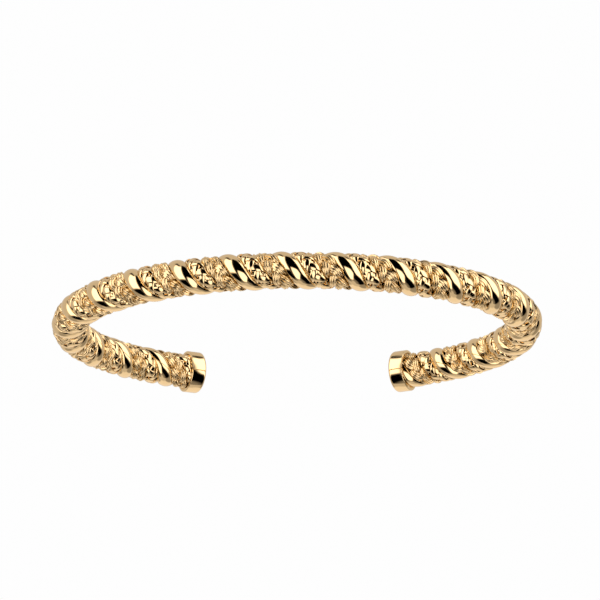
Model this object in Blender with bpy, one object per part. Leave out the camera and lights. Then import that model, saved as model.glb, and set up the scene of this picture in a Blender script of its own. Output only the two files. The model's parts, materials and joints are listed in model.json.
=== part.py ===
"""Open cuff bangle of twisted gold rope, lying flat on its side.

Three strands are laid right-handed round a core wire: a plain round wire, a round braid over
a filler wire, and a flat plait. The rope is bent to an ellipse that stays open at +Y, and a
turned cup is soldered over each end. Metres, +Z up, the origin on the supporting surface
under the middle of the bangle's box.
"""

import math

import bmesh
import bpy
import numpy as np
from mathutils import Matrix, Vector

MM = 0.001

# The rope's centre line: an ellipse lying flat, measured from its closed side at -Y.
RING_HALF_WIDTH = 31.5 * MM
RING_HALF_DEPTH = 25.8 * MM
END_ANGLE = math.radians(153.3)

# The rope: how its strands are laid round the core.
LAY_PITCH = 7.14 * MM
LAY_RADIUS = 1.65 * MM
CORE_RADIUS = 0.68 * MM
STRAND_RADIUS = 0.81 * MM
FILLER_RADIUS = 0.55 * MM
SLEEVE_BORE_RADIUS = 0.65 * MM
PLAIT_HALF_WIDTH = 0.92 * MM
PLAIT_HALF_THICKNESS = 0.81 * MM

# Where each strand lies, as a part of a turn past the outside of the ring at its middle.
WIRE_PHASE = 0.086
BRAID_PHASE = WIRE_PHASE - 0.317
PLAIT_PHASE = WIRE_PHASE - 0.661

# The end cups.
CUP_RADIUS = 2.95 * MM
CUP_LENGTH = 2.2 * MM
CUP_BORE_RADIUS = 2.6 * MM
CUP_FLOOR = 0.45 * MM
CUP_EDGE_RADIUS = 0.45 * MM
CUP_RIM_BEVEL = 0.08 * MM

# Fineness of the meshes.
STEPS_PER_TURN = 10
STRAND_SIDES = 6
CORE_SIDES = 8
CORE_STEPS = 60
CUP_SIDES = 32
EDGE_STEPS = 4
ARC_SAMPLES = 4001

# Polished metal: base colour and roughness of each piece.
YELLOW_GOLD = (0.80, 0.60, 0.36)
WARM_GOLD = (0.76, 0.54, 0.32)
POLISHED = 0.12
WIRE_FINISH = 0.2


def ring_point(angle):
    """The centre line at an angle from the closed side, about the ellipse's own middle."""
    return np.array((RING_HALF_WIDTH * np.sin(angle), -RING_HALF_DEPTH * np.cos(angle)))


ARC_ANGLES = np.linspace(-math.pi, math.pi, ARC_SAMPLES)
ARC_STEPS = np.linalg.norm(np.diff(ring_point(ARC_ANGLES), axis=1), axis=0)
ARC_LENGTHS = np.concatenate(([0.0], np.cumsum(ARC_STEPS))) - ARC_STEPS.sum() / 2
END_DISTANCE = float(np.interp(END_ANGLE, ARC_ANGLES, ARC_LENGTHS))
STRAND_END = END_DISTANCE - CUP_FLOOR - 0.1 * MM

# The box runs from the outside of the closed side to the backs of the cups, and the origin
# is under its middle. The cups are the thickest pieces, so they touch the surface.
ROPE_RADIUS = LAY_RADIUS + STRAND_RADIUS
CUP_SLOPE = math.atan2(-RING_HALF_WIDTH * math.cos(END_ANGLE), RING_HALF_DEPTH * math.sin(END_ANGLE))
FRONT = -RING_HALF_DEPTH - ROPE_RADIUS
BACK = float(ring_point(END_ANGLE)[1]) + CUP_RADIUS * math.sin(CUP_SLOPE)
RING_CENTRE = Vector((0, -(FRONT + BACK) / 2, CUP_RADIUS))


def rope_frame(distance):
    """Centre, direction and outward side of the rope, at a distance along it from the middle."""
    angle = float(np.interp(distance, ARC_LENGTHS, ARC_ANGLES))
    x, y = ring_point(angle)
    along = Vector((RING_HALF_WIDTH * math.cos(angle), RING_HALF_DEPTH * math.sin(angle), 0))
    outward = Vector((RING_HALF_DEPTH * math.sin(angle), -RING_HALF_WIDTH * math.cos(angle), 0))
    return RING_CENTRE + Vector((x, y, 0)), along.normalized(), outward.normalized()


def strand_point(distance, phase):
    """Centre of a strand, and the direction that points away from the core there."""
    centre, _, outward = rope_frame(distance)
    turn = math.tau * (distance / LAY_PITCH + phase)
    radial = outward * math.cos(turn) - Vector((0, 0, math.sin(turn)))
    return centre + radial * LAY_RADIUS, radial


def lay_in_rope(rod, phase):
    """Wind a straight rod, drawn along X, round the core and bend it with the rope."""
    small = 0.01 * MM
    for vert in rod.verts:
        distance, sideways, away = vert.co
        centre, radial = strand_point(distance, phase)
        along = strand_point(distance + small, phase)[0] - strand_point(distance - small, phase)[0]
        across = radial.cross(along).normalized()
        vert.co = centre + across * sideways + radial * away


def bend_with_ring(rod):
    """Bend a straight rod, drawn along X, along the rope's centre line."""
    for vert in rod.verts:
        distance, sideways, height = vert.co
        centre, _, outward = rope_frame(distance)
        vert.co = centre - outward * sideways + Vector((0, 0, height))


def round_section(half_width, half_thickness, half_length, sides):
    """A face across X at the near end of a rod: the hole of the drawing plate."""
    face_x = Matrix.Rotation(math.radians(90), 4, "Y") @ Matrix.Rotation(math.radians(90), 4, "Z")
    flatten = Matrix.Diagonal((half_width, half_thickness, 1, 1))
    start = Matrix.Translation((-half_length, 0, 0))
    section = bmesh.new()
    bmesh.ops.create_circle(section, segments=sides, radius=1, cap_ends=True,
                            matrix=start @ face_x @ flatten)
    return section


def draw_along(section, half_length, steps):
    """Draw a section out along X in equal steps, into a closed straight rod."""
    geometry = section.verts[:] + section.edges[:] + section.faces[:]
    bmesh.ops.spin(section, geom=geometry, cent=(0, 0, 0), axis=(1, 0, 0), angle=0,
                   dvec=(2 * half_length / steps, 0, 0), steps=steps)
    bmesh.ops.recalc_face_normals(section, faces=section.faces[:])
    return section


def drawn_rod(half_width, half_thickness, half_length, sides, steps):
    """A straight rod along X, half its length to each side of the middle."""
    section = round_section(half_width, half_thickness, half_length, sides)
    return draw_along(section, half_length, steps)


def drawn_tube(radius, bore_radius, half_length, sides, steps):
    """A straight tube along X, open at both ends."""
    section = round_section(radius, radius, half_length, sides)
    wall = (radius - bore_radius) * math.cos(math.pi / sides)
    outer = section.faces[:]
    bmesh.ops.inset_region(section, faces=outer, thickness=wall, use_boundary=True,
                           use_even_offset=True)
    bmesh.ops.delete(section, geom=outer, context="FACES_ONLY")
    return draw_along(section, half_length, steps)


def polished_metal(name, colour, roughness):
    material = bpy.data.materials.new(name)
    material.use_nodes = True
    shader = material.node_tree.nodes["Principled BSDF"]
    shader.inputs["Base Color"].default_value = (*colour, 1)
    shader.inputs["Roughness"].default_value = roughness
    shader.inputs["Metallic"].default_value = 1
    return material


def finish_piece(name, shape, colour, roughness):
    """Turn a bmesh into a named object, shaded smooth, with its own metal."""
    mesh = bpy.data.meshes.new(name)
    shape.to_mesh(mesh)
    shape.free()
    mesh.shade_smooth()
    mesh.set_sharp_from_angle(angle=math.radians(40))
    mesh.materials.append(polished_metal(name + "_gold", colour, roughness))
    piece = bpy.data.objects.new(name, mesh)
    bpy.context.scene.collection.objects.link(piece)
    return piece


def strand_steps():
    return round(2 * STRAND_END / LAY_PITCH * STEPS_PER_TURN)


def make_core_wire():
    """The straight wire in the middle of the rope, which the three strands are laid round."""
    rod = drawn_rod(CORE_RADIUS, CORE_RADIUS, STRAND_END, CORE_SIDES, CORE_STEPS)
    bend_with_ring(rod)
    finish_piece("core_wire", rod, WARM_GOLD, WIRE_FINISH)


def make_plain_wire():
    """The plain round wire. Its ends stand square, so they stop short of the cup's floor."""
    end = STRAND_END - STRAND_RADIUS
    rod = drawn_rod(STRAND_RADIUS, STRAND_RADIUS, end, STRAND_SIDES, strand_steps())
    lay_in_rope(rod, WIRE_PHASE)
    finish_piece("smooth_wire", rod, YELLOW_GOLD, POLISHED)


def make_braid():
    """The filler wire and the open braid that is worked over it, here as a plain sleeve."""
    end = STRAND_END - STRAND_RADIUS
    rod = drawn_rod(FILLER_RADIUS, FILLER_RADIUS, end, STRAND_SIDES, strand_steps())
    lay_in_rope(rod, BRAID_PHASE)
    finish_piece("braid_filler_wire", rod, WARM_GOLD, WIRE_FINISH)
    tube = drawn_tube(STRAND_RADIUS, SLEEVE_BORE_RADIUS, end, STRAND_SIDES, strand_steps())
    lay_in_rope(tube, BRAID_PHASE)
    finish_piece("braid_sleeve", tube, YELLOW_GOLD, WIRE_FINISH)


def make_plait():
    """The flat plait of fine wires, here as one strand of its outer section."""
    end = STRAND_END - PLAIT_HALF_WIDTH
    rod = drawn_rod(PLAIT_HALF_WIDTH, PLAIT_HALF_THICKNESS, end, STRAND_SIDES, strand_steps())
    lay_in_rope(rod, PLAIT_PHASE)
    finish_piece("plait_strand", rod, YELLOW_GOLD, WIRE_FINISH)


def cup_outline():
    """Half section of a cup: (along the axis from its end face, out from the axis)."""
    outline = [(0, 0)]
    for step in range(EDGE_STEPS + 1):
        turn = math.radians(90) * step / EDGE_STEPS
        outline.append((CUP_EDGE_RADIUS * (1 - math.cos(turn)),
                        CUP_RADIUS - CUP_EDGE_RADIUS * (1 - math.sin(turn))))
    outline.append((CUP_LENGTH - CUP_RIM_BEVEL, CUP_RADIUS))
    outline.append((CUP_LENGTH, CUP_RADIUS - CUP_RIM_BEVEL))
    outline.append((CUP_LENGTH, CUP_BORE_RADIUS))
    outline.append((CUP_FLOOR, CUP_BORE_RADIUS))
    outline.append((CUP_FLOOR, 0))
    return outline


def make_cup(name, side):
    """A turned cup over one end of the rope: its flat face looks across the opening."""
    shape = bmesh.new()
    points = [shape.verts.new((x, 0, radius)) for x, radius in cup_outline()]
    for first, second in zip(points, points[1:]):
        shape.edges.new((first, second))
    bmesh.ops.spin(shape, geom=shape.verts[:] + shape.edges[:], cent=(0, 0, 0), axis=(1, 0, 0),
                   angle=math.tau, steps=CUP_SIDES, use_merge=True)
    bmesh.ops.remove_doubles(shape, verts=shape.verts[:], dist=0.001 * MM)
    bmesh.ops.recalc_face_normals(shape, faces=shape.faces[:])
    cup = finish_piece(name, shape, YELLOW_GOLD, POLISHED)
    face_centre = rope_frame(side * END_DISTANCE)[0]
    into_cup = -side * rope_frame(side * (END_DISTANCE - CUP_LENGTH / 2))[1]
    up = Vector((0, 0, 1))
    turn = Matrix((into_cup, up.cross(into_cup), up)).transposed()
    cup.location = face_centre
    cup.rotation_euler = turn.to_euler()


for leftover in list(bpy.data.objects):
    bpy.data.objects.remove(leftover, do_unlink=True)

make_core_wire()
make_plain_wire()
make_braid()
make_plait()
make_cup("end_cap_left", -1)
make_cup("end_cap_right", 1)
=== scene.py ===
"""Open cuff bangle of twisted gold rope: its wires, strands and end cups, on a pale floor.

The pieces follow the bench: wires are drawn straight, braided or plaited into strands, the
strands are laid round a core, and the rope is bent to an oval and closed with two cups.
"""

import json
import math

import bmesh
import bpy
import numpy as np
from mathutils import Matrix, Vector


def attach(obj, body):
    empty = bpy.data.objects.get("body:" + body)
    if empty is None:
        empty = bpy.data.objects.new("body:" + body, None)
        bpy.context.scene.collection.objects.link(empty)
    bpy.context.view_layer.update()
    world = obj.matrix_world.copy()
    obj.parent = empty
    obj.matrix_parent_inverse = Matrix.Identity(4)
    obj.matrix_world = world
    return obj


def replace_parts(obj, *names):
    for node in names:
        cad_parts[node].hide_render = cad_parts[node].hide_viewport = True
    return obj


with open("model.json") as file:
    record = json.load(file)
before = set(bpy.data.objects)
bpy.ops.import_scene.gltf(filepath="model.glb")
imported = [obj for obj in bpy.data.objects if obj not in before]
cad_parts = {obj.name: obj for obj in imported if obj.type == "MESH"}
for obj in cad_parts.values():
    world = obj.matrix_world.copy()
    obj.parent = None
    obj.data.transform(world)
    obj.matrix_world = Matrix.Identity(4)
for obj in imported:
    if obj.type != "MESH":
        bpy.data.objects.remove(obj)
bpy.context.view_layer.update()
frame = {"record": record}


# ---- Core wire ------------------------------------------------------------------------
# A stiff drawn wire in the middle of the rope, coloured nearly black as painted shade, so the gaps between
# the strands read dark. It hardly shows, but the strands are wound on it, and it gives the cuff its spring.

MM = 0.001
RING_HALF_WIDTH = 31.5 * MM
RING_HALF_DEPTH = 25.8 * MM
END_ANGLE = math.radians(153.3)
ARC_SAMPLES = 8001
CUP_FLOOR = 0.45 * MM
CORE_RADIUS = 0.72 * MM
CORE_SIDES = 16
CORE_STEPS = 240
SHARP_ANGLE = math.radians(50)
# Near-black core colour: painted shade, so the gaps between the strands read dark.
DARKENED_GOLD = (0.05, 0.032, 0.018)
CORE_ROUGHNESS = 0.45
CORE_LINES = 0.3

# The skin that every wire has: lines left by the drawing plate, fine pits, and soft clouds in
# the colour and in the polish.
LINE_WIDTH = 0.03 * MM
LINE_STRETCH = 0.02
LINE_DETAIL = 2.0
CLOUDS_PER_METRE = 350.0
CLOUD_DETAIL = 3.0
PITS_PER_METRE = 9000.0
PIT_DETAIL = 1.0
PIT_DEPTH = 0.5
SKIN_DEPTH = 0.005 * MM
CLOUD_SHADE = 0.86
BRIGHTEST_POLISH = 0.6
CLOUD_POLISH = 0.5
PIT_POLISH = 0.3

mounts = {mount["name"]: mount for mount in frame["record"]["mounts"]}
RING_CENTRE = np.array(mounts["wrist"]["pos_m"])


def ring_point(angle):
    """The rope's centre line at an angle from the closed side, about the oval's middle."""
    flat = np.zeros_like(angle)
    return np.stack((RING_HALF_WIDTH * np.sin(angle), -RING_HALF_DEPTH * np.cos(angle), flat), -1)


ARC_ANGLES = np.linspace(-math.pi, math.pi, ARC_SAMPLES)
ARC_STEPS = np.linalg.norm(np.diff(ring_point(ARC_ANGLES), axis=0), axis=1)
ARC_LENGTHS = np.concatenate(([0.0], np.cumsum(ARC_STEPS))) - ARC_STEPS.sum() / 2
END_DISTANCE = float(np.interp(END_ANGLE, ARC_ANGLES, ARC_LENGTHS))
STRAND_END = END_DISTANCE - CUP_FLOOR - 0.1 * MM


def unit(vectors):
    return vectors / np.linalg.norm(vectors, axis=-1, keepdims=True)


def rope_frame(distance):
    """Centre, direction and outward side of the rope, at distances from its middle."""
    angle = np.interp(distance, ARC_LENGTHS, ARC_ANGLES)
    flat = np.zeros_like(angle)
    along = np.stack((RING_HALF_WIDTH * np.cos(angle), RING_HALF_DEPTH * np.sin(angle), flat), -1)
    outward = np.stack((RING_HALF_DEPTH * np.sin(angle), -RING_HALF_WIDTH * np.cos(angle), flat), -1)
    return RING_CENTRE + ring_point(angle), unit(along), unit(outward)


def bend_to_ring(points):
    """Straight rope to oval: (along, towards the middle, up) becomes a place on the ring."""
    centre, _, outward = rope_frame(points[:, 0])
    return centre - outward * points[:, 1:2] + np.array((0, 0, 1)) * points[:, 2:3]


def draw_wire(half_width, half_thickness, half_length, sides, steps):
    """Draw a straight wire along X, half its length to each side of the middle."""
    bm = bmesh.new()
    face_x = Matrix.Rotation(math.radians(90), 4, "Y") @ Matrix.Rotation(math.radians(90), 4, "Z")
    flatten = Matrix.Diagonal((half_width, half_thickness, 1, 1))
    start = Matrix.Translation((-half_length, 0, 0))
    bmesh.ops.create_circle(bm, segments=sides, radius=1, cap_ends=True,
                            matrix=start @ face_x @ flatten)
    far_end = bmesh.ops.extrude_face_region(bm, geom=bm.faces[:], use_keep_orig=True)["geom"]
    far_verts = [item for item in far_end if isinstance(item, bmesh.types.BMVert)]
    bmesh.ops.translate(bm, verts=far_verts, vec=(2 * half_length, 0, 0))
    long_edges = [edge for edge in bm.edges if edge.calc_length() > half_length]
    bmesh.ops.subdivide_edges(bm, edges=long_edges, cuts=steps - 1)
    bmesh.ops.recalc_face_normals(bm, faces=bm.faces[:])
    return bm


def bend(bm, shape):
    """Move the straight points to their place, and keep where they were in "drawn"."""
    drawn = bm.verts.layers.float_vector.new("drawn")
    places = shape(np.array([vert.co for vert in bm.verts]))
    for vert, place in zip(bm.verts, places):
        vert[drawn] = vert.co
        vert.co = place


def finish_piece(name, bm, metal):
    """Turn a shape into a smooth-shaded piece of the cuff, with its metal."""
    mesh = bpy.data.meshes.new(name)
    bm.to_mesh(mesh)
    bm.free()
    mesh.shade_smooth()
    mesh.set_sharp_from_angle(angle=SHARP_ANGLE)
    mesh.materials.append(metal)
    piece = bpy.data.objects.new(name, mesh)
    bpy.context.scene.collection.objects.link(piece)
    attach(piece, "root")
    return piece


class Signal:
    """A shader socket that Python's operators join to numbers and to other signals."""

    def __init__(self, tree, socket):
        self.tree = tree
        self.socket = socket

    def maths(self, operation, *values):
        return self.tree.node("ShaderNodeMath", {"operation": operation}, dict(enumerate(values)))

    def __add__(self, other):
        return self.maths("ADD", self, other)

    def __sub__(self, other):
        return self.maths("SUBTRACT", self, other)

    def __rsub__(self, other):
        return self.maths("SUBTRACT", other, self)

    def __mul__(self, other):
        return self.maths("MULTIPLY", self, other)

    __radd__ = __add__
    __rmul__ = __mul__


class Shading:
    """The node tree of a material or a world."""

    def __init__(self, owner):
        owner.use_nodes = True
        self.nodes = owner.node_tree.nodes
        self.links = owner.node_tree.links

    def node(self, kind, settings=None, values=None, output=0):
        """Add a node: settings are its properties, values the numbers or links of its sockets."""
        node = self.nodes.new(kind)
        for name, setting in (settings or {}).items():
            setattr(node, name, setting)
        for socket, value in (values or {}).items():
            if isinstance(value, Signal):
                self.links.new(value.socket, node.inputs[socket])
            else:
                node.inputs[socket].default_value = value
        return Signal(self, node.outputs[output])

    def noise(self, vector, scale, detail):
        return self.node("ShaderNodeTexNoise", values={"Vector": vector, "Scale": scale, "Detail": detail})

    def mix(self, factor, first, second):
        """Blend two colours: a Mix node keeps its colour sockets at these numbers."""
        return self.node("ShaderNodeMix", {"data_type": "RGBA"}, {0: factor, 6: first, 7: second}, output=2)

    def feed(self, node_name, socket, signal):
        self.links.new(signal.socket, self.nodes[node_name].inputs[socket])


def drawn_gold(name, colour, roughness, line_strength):
    """Bright drawn metal: faint lines along the wire, and a skin that varies a little."""
    material = bpy.data.materials.new(name)
    shading = Shading(material)
    drawn = shading.node("ShaderNodeAttribute", {"attribute_name": "drawn"}, output="Vector")
    along = shading.node("ShaderNodeMapping", values={"Vector": drawn, "Scale": (LINE_STRETCH, 1, 1)})
    place = shading.node("ShaderNodeTexCoord", output="Object")
    lines = shading.noise(along, 1 / LINE_WIDTH, LINE_DETAIL)
    clouds = shading.noise(place, CLOUDS_PER_METRE, CLOUD_DETAIL)
    pits = shading.noise(place, PITS_PER_METRE, PIT_DETAIL)
    shade = [channel * CLOUD_SHADE for channel in colour]
    shading.feed("Principled BSDF", "Base Color", shading.mix(clouds, (*colour, 1), (*shade, 1)))
    wear = BRIGHTEST_POLISH + CLOUD_POLISH * clouds + PIT_POLISH * pits
    shading.feed("Principled BSDF", "Roughness", roughness * wear)
    bump = shading.node("ShaderNodeBump", values={"Strength": line_strength, "Distance": SKIN_DEPTH,
                                                  "Height": lines + pits * PIT_DEPTH})
    shading.feed("Principled BSDF", "Normal", bump)
    shading.nodes["Principled BSDF"].inputs["Metallic"].default_value = 1
    return material


core_shape = draw_wire(CORE_RADIUS, CORE_RADIUS, STRAND_END, CORE_SIDES, CORE_STEPS)
bend(core_shape, bend_to_ring)
# The core's near-black metal is painted shade for the gaps between the strands.
core_metal = drawn_gold("core_gold_painted_shade", DARKENED_GOLD, CORE_ROUGHNESS, CORE_LINES)
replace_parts(finish_piece("core_wire_drawn", core_shape, core_metal), "core_wire")


# ---- Smooth wire ----------------------------------------------------------------------
# The thickest strand: one plain round wire, highly polished before the rope was twisted.
# It winds right-handed round the core and shows long clean reflections.

LAY_PITCH = 7.14 * MM
LAY_RADIUS = 1.42 * MM
STRAND_RADIUS = 1.12 * MM
STRAND_SPREAD = 1.14
ROPE_RADIUS = LAY_RADIUS + STRAND_RADIUS
TAKE_UP = math.hypot(1, math.tau * LAY_RADIUS / LAY_PITCH)
SHORT_OF_CUP_FLOOR = 1.3 * MM
LAID_END = STRAND_END * TAKE_UP - SHORT_OF_CUP_FLOOR
EASING_FROM = 0.92
SMOOTH_PHASE = 0.086
SMOOTH_SHARE = 0.344
SMOOTH_SIDES = 32
SMOOTH_STEPS_PER_TURN = 64
TURNS = 2 * STRAND_END / LAY_PITCH
GOLD = (0.95, 0.76, 0.46)
POLISHED_ROUGHNESS = 0.07
POLISHED_LINES = 0.05


def press(amount, limit):
    """Ease an amount into a limit over its last part, as where strands are squeezed."""
    knee = EASING_FROM * limit
    room = limit - knee
    eased = knee + room * (1 - np.exp(-np.maximum(amount - knee, 0) / room))
    return np.where(amount < knee, amount, eased)


def lay_in_rope(points, phase, share):
    """Straight strand to rope: (along the strand, sideways, away from the core) is laid.

    The strands are pressed together, so each keeps to its share of the turn round the core.
    """
    distance = points[:, 0] / TAKE_UP
    turn = math.tau * (distance / LAY_PITCH + phase)
    flat = np.zeros_like(turn)
    radial = np.stack((flat, -np.cos(turn), -np.sin(turn)), -1)
    swing = np.stack((flat, np.sin(turn), -np.cos(turn)), -1)
    ahead = np.array((1, 0, 0)) + swing * (math.tau * LAY_RADIUS / LAY_PITCH)
    across = unit(np.cross(radial, ahead))
    straight = np.array((1, 0, 0)) * distance[:, None] + radial * LAY_RADIUS
    laid = straight + across * points[:, 1:2] * STRAND_SPREAD + radial * points[:, 2:3]
    depth = ROPE_RADIUS - np.hypot(laid[:, 1], laid[:, 2])
    radius = ROPE_RADIUS - press(depth, ROPE_RADIUS - CORE_RADIUS)
    own_turn = math.tau * (laid[:, 0] / LAY_PITCH + phase)
    off = (np.arctan2(-laid[:, 2], -laid[:, 1]) - own_turn + math.pi) % math.tau - math.pi
    pressed_turn = own_turn + np.sign(off) * press(np.abs(off), share * math.pi)
    return bend_to_ring(np.stack((laid[:, 0], -radius * np.cos(pressed_turn),
                                  -radius * np.sin(pressed_turn)), -1))


def laid_wire(name, half_width, half_thickness, sides, steps, shape, metal):
    """One wire of the rope as a piece of its own."""
    bm = draw_wire(half_width, half_thickness, LAID_END, sides, steps)
    bend(bm, shape)
    return finish_piece(name, bm, metal)


smooth_metal = drawn_gold("polished_gold", GOLD, POLISHED_ROUGHNESS, POLISHED_LINES)
smooth_wire = laid_wire("smooth_wire_polished", STRAND_RADIUS, STRAND_RADIUS, SMOOTH_SIDES,
                        round(TURNS * SMOOTH_STEPS_PER_TURN),
                        lambda points: lay_in_rope(points, SMOOTH_PHASE, SMOOTH_SHARE),
                        smooth_metal)
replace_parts(smooth_wire, "smooth_wire")


# ---- Openwork braid -------------------------------------------------------------------
# Six flattened wires braided one over, one under round a thick bright filler wire. The
# filler shows at the bottom of the shallow lozenges between them.

BRAID_PHASE = SMOOTH_PHASE - 0.325
BRAID_SHARE = 0.306
BRAID_PITCH = 3.8 * MM
BRAID_RADIUS = 0.93 * MM
BRAID_LIFT = 0.07 * MM
BRAID_WIRE_WIDTH = 0.68 * MM
BRAID_WIRE_THICKNESS = 0.2 * MM
BRAID_CARRIERS = 3
BRAID_STEPS_PER_TURN = 45
BRAID_WIRE_SIDES = 12
BRAID_ROUGHNESS = 0.12
BRAID_LINES = 0.1
FILLER_RADIUS = 0.84 * MM
FILLER_SIDES = 12
FILLER_STEPS_PER_TURN = 32
SHORT_STEP = 0.01 * MM


def follow(points, centre_at, away_at):
    """Bend a straight wire along a line: away_at is the side that its thickness faces."""
    distance = points[:, 0]
    ahead = unit(centre_at(distance + SHORT_STEP) - centre_at(distance - SHORT_STEP))
    across = unit(np.cross(away_at(distance), ahead))
    upright = np.cross(ahead, across)
    return centre_at(distance) + across * points[:, 1:2] + upright * points[:, 2:3]


def braid_wire(points, carrier, hand):
    """One wire of the braid: round the filler, over and under the wires of the other hand."""
    start = math.tau * carrier / BRAID_CARRIERS

    def away_at(distance):
        turn = hand * math.tau * distance / BRAID_PITCH + start
        return np.stack((np.zeros_like(turn), np.cos(turn), np.sin(turn)), -1)

    def centre_at(distance):
        weave = np.cos(BRAID_CARRIERS * math.tau * distance / BRAID_PITCH)
        radius = BRAID_RADIUS + hand * BRAID_LIFT * weave
        line = away_at(distance) * radius[:, None]
        line[:, 0] = distance
        return line

    return lay_in_rope(follow(points, centre_at, away_at), BRAID_PHASE, BRAID_SHARE)


braid_metal = drawn_gold("braid_wire_gold", GOLD, BRAID_ROUGHNESS, BRAID_LINES)
filler_wire = laid_wire("braid_filler_drawn", FILLER_RADIUS, FILLER_RADIUS, FILLER_SIDES,
                        round(TURNS * FILLER_STEPS_PER_TURN),
                        lambda points: lay_in_rope(points, BRAID_PHASE, BRAID_SHARE),
                        braid_metal)
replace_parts(filler_wire, "braid_filler_wire")

braid_steps = round(2 * LAID_END / BRAID_PITCH * BRAID_STEPS_PER_TURN)
for hand, hand_name in ((1, "right"), (-1, "left")):
    for carrier in range(BRAID_CARRIERS):
        wire = laid_wire(f"braid_wire_{hand_name}_{carrier + 1}", BRAID_WIRE_WIDTH / 2,
                         BRAID_WIRE_THICKNESS / 2, BRAID_WIRE_SIDES, braid_steps,
                         lambda points: braid_wire(points, carrier, hand), braid_metal)
        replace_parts(wire, "braid_sleeve")


# ---- Plait ----------------------------------------------------------------------------
# A three-ply plait. Each ply is a flat bundle of fine wires laid round a flat one, and the
# plies cross in the middle, so the outside shows a row of arches like a plait of hair.

PLAIT_PHASE = SMOOTH_PHASE - 0.653
PLAIT_SHARE = 0.35
PLIES = 3
PLAIT_REPEAT = 5.0 * MM
PLAIT_REACH = 0.62 * MM
PLAIT_RISE = 0.42 * MM
PLAIT_LIFT = 0.22 * MM
FINE_WIRE_RADIUS = 0.15 * MM
FINE_WIRES_ROUND = 7
BUNDLE_HALF_WIDTH = 0.35 * MM
BUNDLE_HALF_THICKNESS = 0.3 * MM
GROOVE_FILL = 0.05 * MM
PLAIT_STEPS_PER_REPEAT = 36
FINE_WIRE_SIDES = 7
PLAIT_ROUGHNESS = 0.28
PLAIT_LINES = 0.12


def ply_line(distance, ply):
    """Centre of a ply in the straight plait: from side to side once, and up and down twice."""
    swing = math.tau * (distance / PLAIT_REPEAT + ply / PLIES)
    height = PLAIT_LIFT + PLAIT_RISE * np.sin(2 * swing)
    return np.stack((distance, PLAIT_REACH * np.sin(swing), height), -1)


def ply_sides(distance, ply):
    """The flat bundle's own directions: across its width, and out of its flat side."""
    ahead = unit(ply_line(distance + SHORT_STEP, ply) - ply_line(distance - SHORT_STEP, ply))
    across = unit(np.cross(np.array((0, 0, 1)), ahead))
    return across, np.cross(ahead, across)


def plait_wire(points, ply, place):
    """One fine wire of a ply: place is its angle round the bundle, or None for the middle."""
    reach = (0, 0) if place is None else (BUNDLE_HALF_WIDTH * math.cos(place),
                                          BUNDLE_HALF_THICKNESS * math.sin(place))

    def centre_at(distance):
        across, upright = ply_sides(distance, ply)
        return ply_line(distance, ply) + across * reach[0] + upright * reach[1]

    return lay_in_rope(follow(points, centre_at, lambda distance: ply_sides(distance, ply)[1]),
                       PLAIT_PHASE, PLAIT_SHARE)


def make_ply(ply, metal):
    """The fine wires of one ply, joined as one bundle."""
    steps = round(2 * LAID_END / PLAIT_REPEAT * PLAIT_STEPS_PER_REPEAT)
    middle = (BUNDLE_HALF_WIDTH + GROOVE_FILL, BUNDLE_HALF_THICKNESS + GROOVE_FILL)
    places = [math.tau * number / FINE_WIRES_ROUND for number in range(FINE_WIRES_ROUND)]
    bundle = bmesh.new()
    for place in places + [None]:
        half_sizes = middle if place is None else (FINE_WIRE_RADIUS, FINE_WIRE_RADIUS)
        bm = draw_wire(*half_sizes, LAID_END, FINE_WIRE_SIDES, steps)
        bend(bm, lambda straight: plait_wire(straight, ply, place))
        strand = bpy.data.meshes.new("strand")
        bm.to_mesh(strand)
        bm.free()
        bundle.from_mesh(strand)
        bpy.data.meshes.remove(strand)
    return finish_piece(f"plait_ply_{ply + 1}", bundle, metal)


plait_metal = drawn_gold("plait_wire_gold", GOLD, PLAIT_ROUGHNESS, PLAIT_LINES)
for ply in range(PLIES):
    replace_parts(make_ply(ply, plait_metal), "plait_strand")


# ---- End cups -------------------------------------------------------------------------
# Two turned cups, bored from one side and polished. The rope's ends go into the bores, which
# solder fills almost to the mouth, and the flat ends face each other across the opening.

CUP_RADIUS = 2.95 * MM
CUP_LENGTH = 2.2 * MM
CUP_BORE_RADIUS = 2.62 * MM
SOLDER_DEPTH = 0.3 * MM
CUP_EDGE_RADIUS = 0.45 * MM
CUP_EDGE_SEGMENTS = 8
CUP_RIM_RADIUS = 0.1 * MM
CUP_RIM_SEGMENTS = 4
CUP_SIDES = 128
MERGE_DISTANCE = 0.0001 * MM
ON_THE_RIM = 0.001 * MM


def turned_cup():
    """A cup along X from its flat end at 0 to its mouth, turned from a half section."""
    solder = CUP_LENGTH - SOLDER_DEPTH
    section = ((0, 0), (0, CUP_RADIUS), (CUP_LENGTH, CUP_RADIUS), (CUP_LENGTH, CUP_BORE_RADIUS),
               (solder, CUP_BORE_RADIUS), (solder, 0))
    bm = bmesh.new()
    corners = [bm.verts.new((x, 0, radius)) for x, radius in section]
    for first, second in zip(corners, corners[1:]):
        bm.edges.new((first, second))
    bmesh.ops.spin(bm, geom=bm.verts[:] + bm.edges[:], cent=(0, 0, 0), axis=(1, 0, 0),
                   angle=math.tau, steps=CUP_SIDES, use_merge=True)
    bmesh.ops.remove_doubles(bm, verts=bm.verts[:], dist=MERGE_DISTANCE)
    for x, rounding, segments in ((0, CUP_EDGE_RADIUS, CUP_EDGE_SEGMENTS),
                                  (CUP_LENGTH, CUP_RIM_RADIUS, CUP_RIM_SEGMENTS)):
        rim = [edge for edge in bm.edges
               if all(abs(vert.co.x - x) < ON_THE_RIM
                      and math.hypot(vert.co.y, vert.co.z) > CUP_RADIUS - ON_THE_RIM
                      for vert in edge.verts)]
        bmesh.ops.bevel(bm, geom=rim, offset=rounding, affect="EDGES", segments=segments,
                        profile=0.5, material=-1)
    bmesh.ops.recalc_face_normals(bm, faces=bm.faces[:])
    return bm


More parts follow.
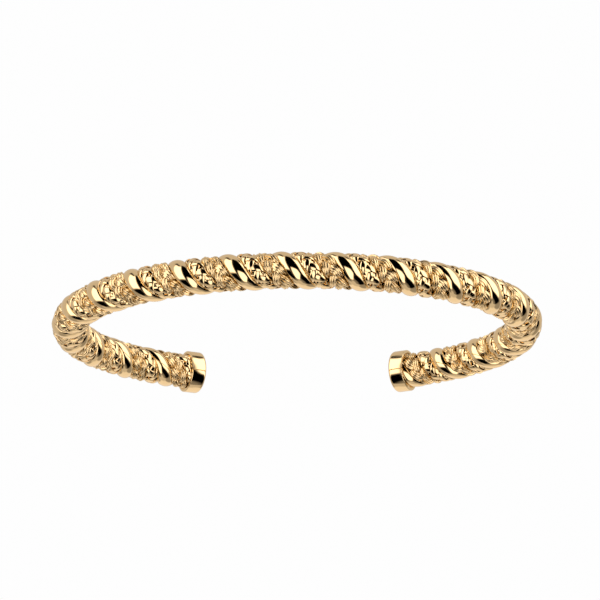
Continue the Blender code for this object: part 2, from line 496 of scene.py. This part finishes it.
def seat_cup(points, side):
    """Turned cup to its place: its flat end at the rope's end, its mouth over the rope."""
    face_centre = rope_frame(np.array([side * END_DISTANCE]))[0]
    into_cup = -side * rope_frame(np.array([side * (END_DISTANCE - CUP_LENGTH / 2)]))[1]
    across = np.cross((0, 0, 1), into_cup)
    up = np.array((0, 0, 1))
    return face_centre + points[:, :1] * into_cup + points[:, 1:2] * across + points[:, 2:] * up


cup_metal = drawn_gold("cup_gold", GOLD, POLISHED_ROUGHNESS, POLISHED_LINES)
for side, name in ((-1, "left"), (1, "right")):
    cup = turned_cup()
    bend(cup, lambda points: seat_cup(points, side))
    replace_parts(finish_piece(f"end_cup_{name}", cup, cup_metal), f"end_cap_{name}")


# ---- Floor, light and camera ----------------------------------------------------------
# A pale floor that only shows from above, soft light and dark panels in a grey surround, and a
# camera a little below the ring's plane, which looks at the closed side against white.

FLOOR_HALF_SIZE = 3
FLOOR_PAINT = (0.86, 0.93, 1, 1)
FLOOR_ROUGHNESS = 0.8

floor_shape = bmesh.new()
bmesh.ops.create_grid(floor_shape, x_segments=1, y_segments=1, size=FLOOR_HALF_SIZE)
floor_mesh = bpy.data.meshes.new("floor")
floor_shape.to_mesh(floor_mesh)
floor_shape.free()
floor = bpy.data.objects.new("floor", floor_mesh)
bpy.context.scene.collection.objects.link(floor)
floor_paint = bpy.data.materials.new("pale_floor")
paint = Shading(floor_paint)
paint.nodes["Principled BSDF"].inputs["Base Color"].default_value = FLOOR_PAINT
paint.nodes["Principled BSDF"].inputs["Roughness"].default_value = FLOOR_ROUGHNESS
clear = paint.node("ShaderNodeBsdfTransparent")
from_below = paint.node("ShaderNodeNewGeometry", output="Backfacing")
body = Signal(paint, paint.nodes["Principled BSDF"].outputs["BSDF"])
one_sided = paint.node("ShaderNodeMixShader", values={0: from_below, 1: body, 2: clear})
paint.feed("Material Output", "Surface", one_sided)
floor_mesh.materials.append(floor_paint)
floor.visible_glossy = False

PANEL_EDGE = math.radians(6)
SURROUND_LEVEL = 0.67
LAMP_TINT = (1.0, 0.87, 0.74)
WHITE_BACKDROP = (0.99, 0.99, 0.99, 1)
# Each panel: bearing from, bearing to, height from, height to, lean, level. Angles are in
# degrees, bearings run from the closed side (0) towards +X (90), and a panel's bearings
# grow by its lean for each degree of height. A later panel covers an earlier one.
PANELS = (
    (150, 185, -62, -5, 0, 1.0), (-185, -150, -62, -5, 0, 1.0),
    (95, 148, -60, -15, 0, 0.35), (-150, -97, -50, -18, 0, 0.4),
    (-88, -35, -23, 59, 0, 2.2), (37, 97, -19, 64, 0, 2.2),
    (-36, 38, -62, 78, 0, 0),
    (-110, 115, -80, -60, 0, 0.25),
    (-102, -36, -68, -26, 0, 0), (33, 112, -64, -21, 0, 0),
    (-15, 34, -72, -3, 0.25, 2.0), (14, 38, -34, 2, -0.6, 0),
    (-112, -52, 57, 70, 0, 0.05), (70, 118, 61, 75, 0, 0.05),
)

world = bpy.data.worlds.new("studio")
bpy.context.scene.world = world
sky = Shading(world)
looking = sky.node("ShaderNodeTexCoord", output="Generated")
east, north, height = (sky.node("ShaderNodeSeparateXYZ", values={"Vector": looking}, output=axis)
                       for axis in "XYZ")
bearing = east.maths("ARCTAN2", east, 0 - north)
rise = height.maths("ARCSINE", height)


def above(angle, edge):
    """0 below an edge and 1 above it, with a soft change."""
    return sky.node("ShaderNodeMapRange", {"interpolation_type": "SMOOTHSTEP"},
                    {"Value": angle, "From Min": edge - PANEL_EDGE, "From Max": edge + PANEL_EDGE})


level = SURROUND_LEVEL
for bearing_from, bearing_to, rise_from, rise_to, lean, panel_level in PANELS:
    upright = bearing - rise * lean
    across = above(upright, math.radians(bearing_from)) - above(upright, math.radians(bearing_to))
    up = above(rise, math.radians(rise_from)) - above(rise, math.radians(rise_to))
    level = across * up * (panel_level - level) + level
red, green, blue = (level * part for part in LAMP_TINT)
light = sky.node("ShaderNodeCombineColor", values={"Red": red, "Green": green, "Blue": blue})
seen_directly = sky.node("ShaderNodeLightPath", output="Is Camera Ray")
sky.feed("Background", "Color", sky.mix(seen_directly, light, WHITE_BACKDROP))

bpy.context.scene.view_settings.view_transform = "Standard"

VIEW_DISTANCE = 557 * MM
VIEW_DROP = math.radians(16.77)
VIEW_WIDTH = 83.3 * MM
VIEW_ROLL = math.radians(-0.28)
SHIFT_ACROSS = 0.00483
SHIFT_UP = 0.04417
NEAREST_SEEN = 10 * MM

camera_data = bpy.data.cameras.new("camera")
camera_data.lens = camera_data.sensor_width * VIEW_DISTANCE / VIEW_WIDTH
camera_data.shift_x = SHIFT_ACROSS
camera_data.shift_y = SHIFT_UP
camera_data.clip_start = NEAREST_SEEN
camera = bpy.data.objects.new("camera", camera_data)
bpy.context.scene.collection.objects.link(camera)
towards = Vector((0, -math.cos(VIEW_DROP), -math.sin(VIEW_DROP)))
camera.location = Vector(RING_CENTRE) + towards * VIEW_DISTANCE
roll = Matrix.Rotation(VIEW_ROLL, 4, "Z")
camera.rotation_euler = ((-towards).to_track_quat("-Z", "Y").to_matrix().to_4x4() @ roll).to_euler()
bpy.context.scene.camera = camera
